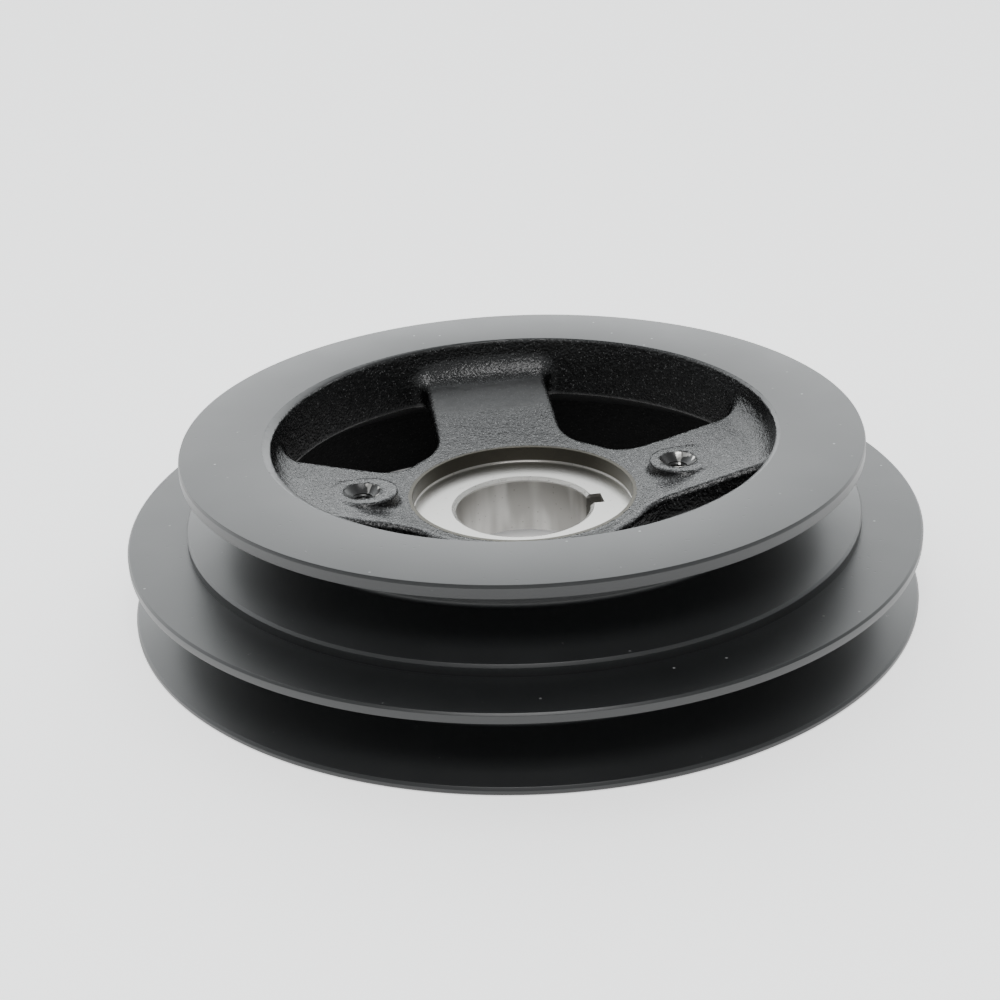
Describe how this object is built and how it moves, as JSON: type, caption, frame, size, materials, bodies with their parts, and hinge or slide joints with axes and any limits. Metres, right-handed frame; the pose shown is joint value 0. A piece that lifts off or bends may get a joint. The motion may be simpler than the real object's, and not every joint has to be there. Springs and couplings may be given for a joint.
{
  "type": "v belt pulley",
  "caption": "Two-step V belt pulley, a black coated iron casting with a spoked open middle and a keyed bare hub.",
  "frame": {"origin": "on the shaft axis, in the plane of the large sheave's rear face", "axes": "+Z along the shaft axis towards the small sheave, +X through the keyway"},
  "size_m": [0.2032, 0.2032, 0.0429],
  "materials": {
    "coated_iron": "satin",
    "bare_iron": "satin"
  },
  "bodies": {
    "root": {"front_flange": "coated_iron", "small_rim": "coated_iron", "step_flange": "coated_iron", "middle_flange": "coated_iron", "large_rim": "coated_iron", "rear_flange": "coated_iron", "hub": "bare_iron", "key_side_spoke": "coated_iron", "far_side_spoke": "coated_iron", "left_spoke": "coated_iron", "right_spoke": "coated_iron"}
  },
  "joints": []
}
